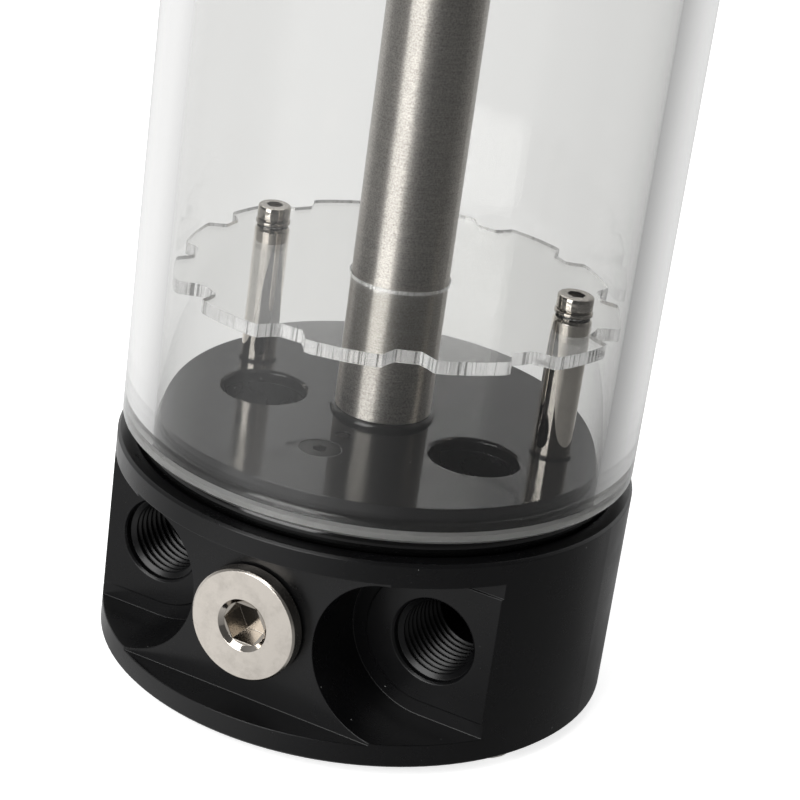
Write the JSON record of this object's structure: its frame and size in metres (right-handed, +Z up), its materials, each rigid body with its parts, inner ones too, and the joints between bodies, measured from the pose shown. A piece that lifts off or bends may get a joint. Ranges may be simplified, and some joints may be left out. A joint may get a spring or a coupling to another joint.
{
  "type": "tube coolant reservoir",
  "caption": "Upright clear-tube coolant reservoir with a round ported base, centre feed tube, baffle disc on posts and a screwed-down lid.",
  "frame": {"origin": "on the surface it stands on, on the tube's axis", "axes": "+Z up the tube's axis, -Y towards the side with the three ports, +X to the right seen from that side"},
  "size_m": [0.081, 0.081, 0.2078],
  "materials": {
    "black_acetal": "turned and milled, satin",
    "floor_acetal": "fine faced, semi-gloss",
    "clear_acrylic": "extruded tube and laser-cut sheet, polished",
    "black_rubber": "moulded, satin",
    "foot_rubber": "moulded, pale translucent",
    "brushed_stainless": "brushed round the tube",
    "polished_nickel": "nickel plated, polished",
    "satin_nickel": "nickel plated, satin"
  },
  "bodies": {
    "reservoir": {"base_block": "black_acetal", "floor_plate": "floor_acetal", "floor_screw": "polished_nickel", "locating_pin": "polished_nickel", "base_face_seal": "black_rubber", "base_bore_seal": "black_rubber", "reservoir_tube": "clear_acrylic", "centre_tube": "brushed_stainless", "centre_tube_seal": "black_rubber", "tube_insert": "brushed_stainless", "post_left": "polished_nickel", "post_right": "polished_nickel", "post_washers": "black_rubber", "baffle_disc": "clear_acrylic", "disc_screws": "polished_nickel", "feet": "foot_rubber", "lid_block": "black_acetal", "lid_face_seal": "black_rubber", "lid_bore_seal": "black_rubber"},
    "front_plug_ring": {"front_plug_seal": "black_rubber"},
    "front_plug": {"front_plug": "satin_nickel"},
    "fill_plug_ring": {"fill_plug_seal": "black_rubber"},
    "fill_plug": {"fill_plug": "satin_nickel"},
    "vent_plug_ring": {"vent_plug_seal": "black_rubber"},
    "vent_plug": {"vent_plug": "satin_nickel"},
    "clamp_knob_ring": {"clamp_knob_seal": "black_rubber"},
    "clamp_knob": {"clamp_knob": "satin_nickel"}
  },
  "joints": [
    {"name": "front_plug_slide", "type": "slide", "parent": "reservoir", "child": "front_plug_ring", "axis": [0, -1, 0], "range_m": [0, 0.00803]},
    {"name": "front_plug_turn", "type": "hinge", "parent": "front_plug_ring", "child": "front_plug", "pos_m": [0, -0.0343, 0.01885], "axis": [0, -1, 0], "range_deg": [0, 2160]},
    {"name": "fill_plug_slide", "type": "slide", "parent": "reservoir", "child": "fill_plug_ring", "axis": [0, 0, 1], "range_m": [0, 0.00803]},
    {"name": "fill_plug_turn", "type": "hinge", "parent": "fill_plug_ring", "child": "fill_plug", "pos_m": [-0.024, 0, 0.1995], "axis": [0, 0, 1], "range_deg": [0, 2160]},
    {"name": "vent_plug_slide", "type": "slide", "parent": "reservoir", "child": "vent_plug_ring", "axis": [0, 0, 1], "range_m": [0, 0.00803]},
    {"name": "vent_plug_turn", "type": "hinge", "parent": "vent_plug_ring", "child": "vent_plug", "pos_m": [0.024, 0, 0.1995], "axis": [0, 0, 1], "range_deg": [0, 2160]},
    {"name": "clamp_knob_slide", "type": "slide", "parent": "reservoir", "child": "clamp_knob_ring", "axis": [0, 0, 1], "range_m": [0, 0.00901]},
    {"name": "clamp_knob_turn", "type": "hinge", "parent": "clamp_knob_ring", "child": "clamp_knob", "pos_m": [0, 0, 0.1995], "axis": [0, 0, 1], "range_deg": [0, 2592]}
  ],
  "couplings": [
    {"joint": "front_plug_slide", "follows": "front_plug_turn", "m_per_rad": 0.00021279},
    {"joint": "fill_plug_slide", "follows": "fill_plug_turn", "m_per_rad": 0.00021279},
    {"joint": "vent_plug_slide", "follows": "vent_plug_turn", "m_per_rad": 0.00021279},
    {"joint": "clamp_knob_slide", "follows": "clamp_knob_turn", "m_per_rad": 0.00019894}
  ]
}
